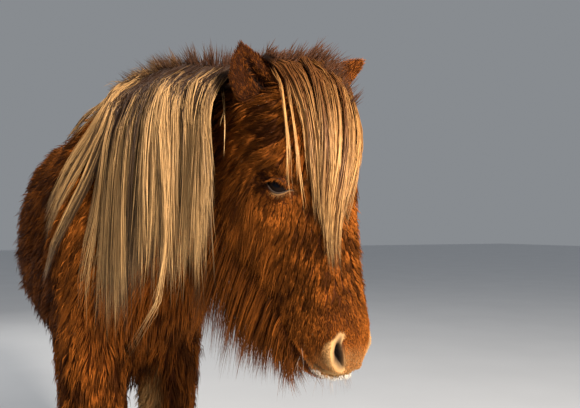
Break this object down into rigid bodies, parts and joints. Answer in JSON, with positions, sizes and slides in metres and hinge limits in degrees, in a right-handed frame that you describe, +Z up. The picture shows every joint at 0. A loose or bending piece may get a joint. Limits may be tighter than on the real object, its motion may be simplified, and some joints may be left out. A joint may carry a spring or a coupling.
{
  "type": "icelandic horse",
  "caption": "Life-size still model of a stocky Icelandic horse in winter coat, head low and turned to its left, with a long blond mane, forelock and tail.",
  "frame": {"origin": "middle of the model's box, on the floor under the hooves", "axes": "+Z up, the horse faces -Y, its left side is +X"},
  "size_m": [0.5729, 2.112, 1.4182],
  "materials": {
    "coat": "long chestnut winter hair",
    "flaxen": "long blond hair, brown at the roots",
    "eye": "wet, near black",
    "hoof": "dull horn"
  },
  "bodies": {
    "root": {"fore_right_upper": "coat", "fore_right_cannon": "coat", "fore_right_pastern": "coat", "fore_right_hoof": "hoof", "fore_left_upper": "coat", "fore_left_cannon": "coat", "fore_left_pastern": "coat", "fore_left_hoof": "hoof", "hind_right_upper": "coat", "hind_right_cannon": "coat", "hind_right_pastern": "coat", "hind_right_hoof": "hoof", "hind_left_upper": "coat", "hind_left_cannon": "coat", "hind_left_pastern": "coat", "hind_left_hoof": "hoof", "head": "coat", "neck": "coat", "chest": "coat", "barrel": "coat", "hindquarters": "coat", "ear_right": "coat", "ear_left": "coat", "beard": "coat", "mane": "flaxen", "forelock": "flaxen", "tail": "flaxen", "eye_right": "eye", "eye_left": "eye"}
  },
  "joints": []
}
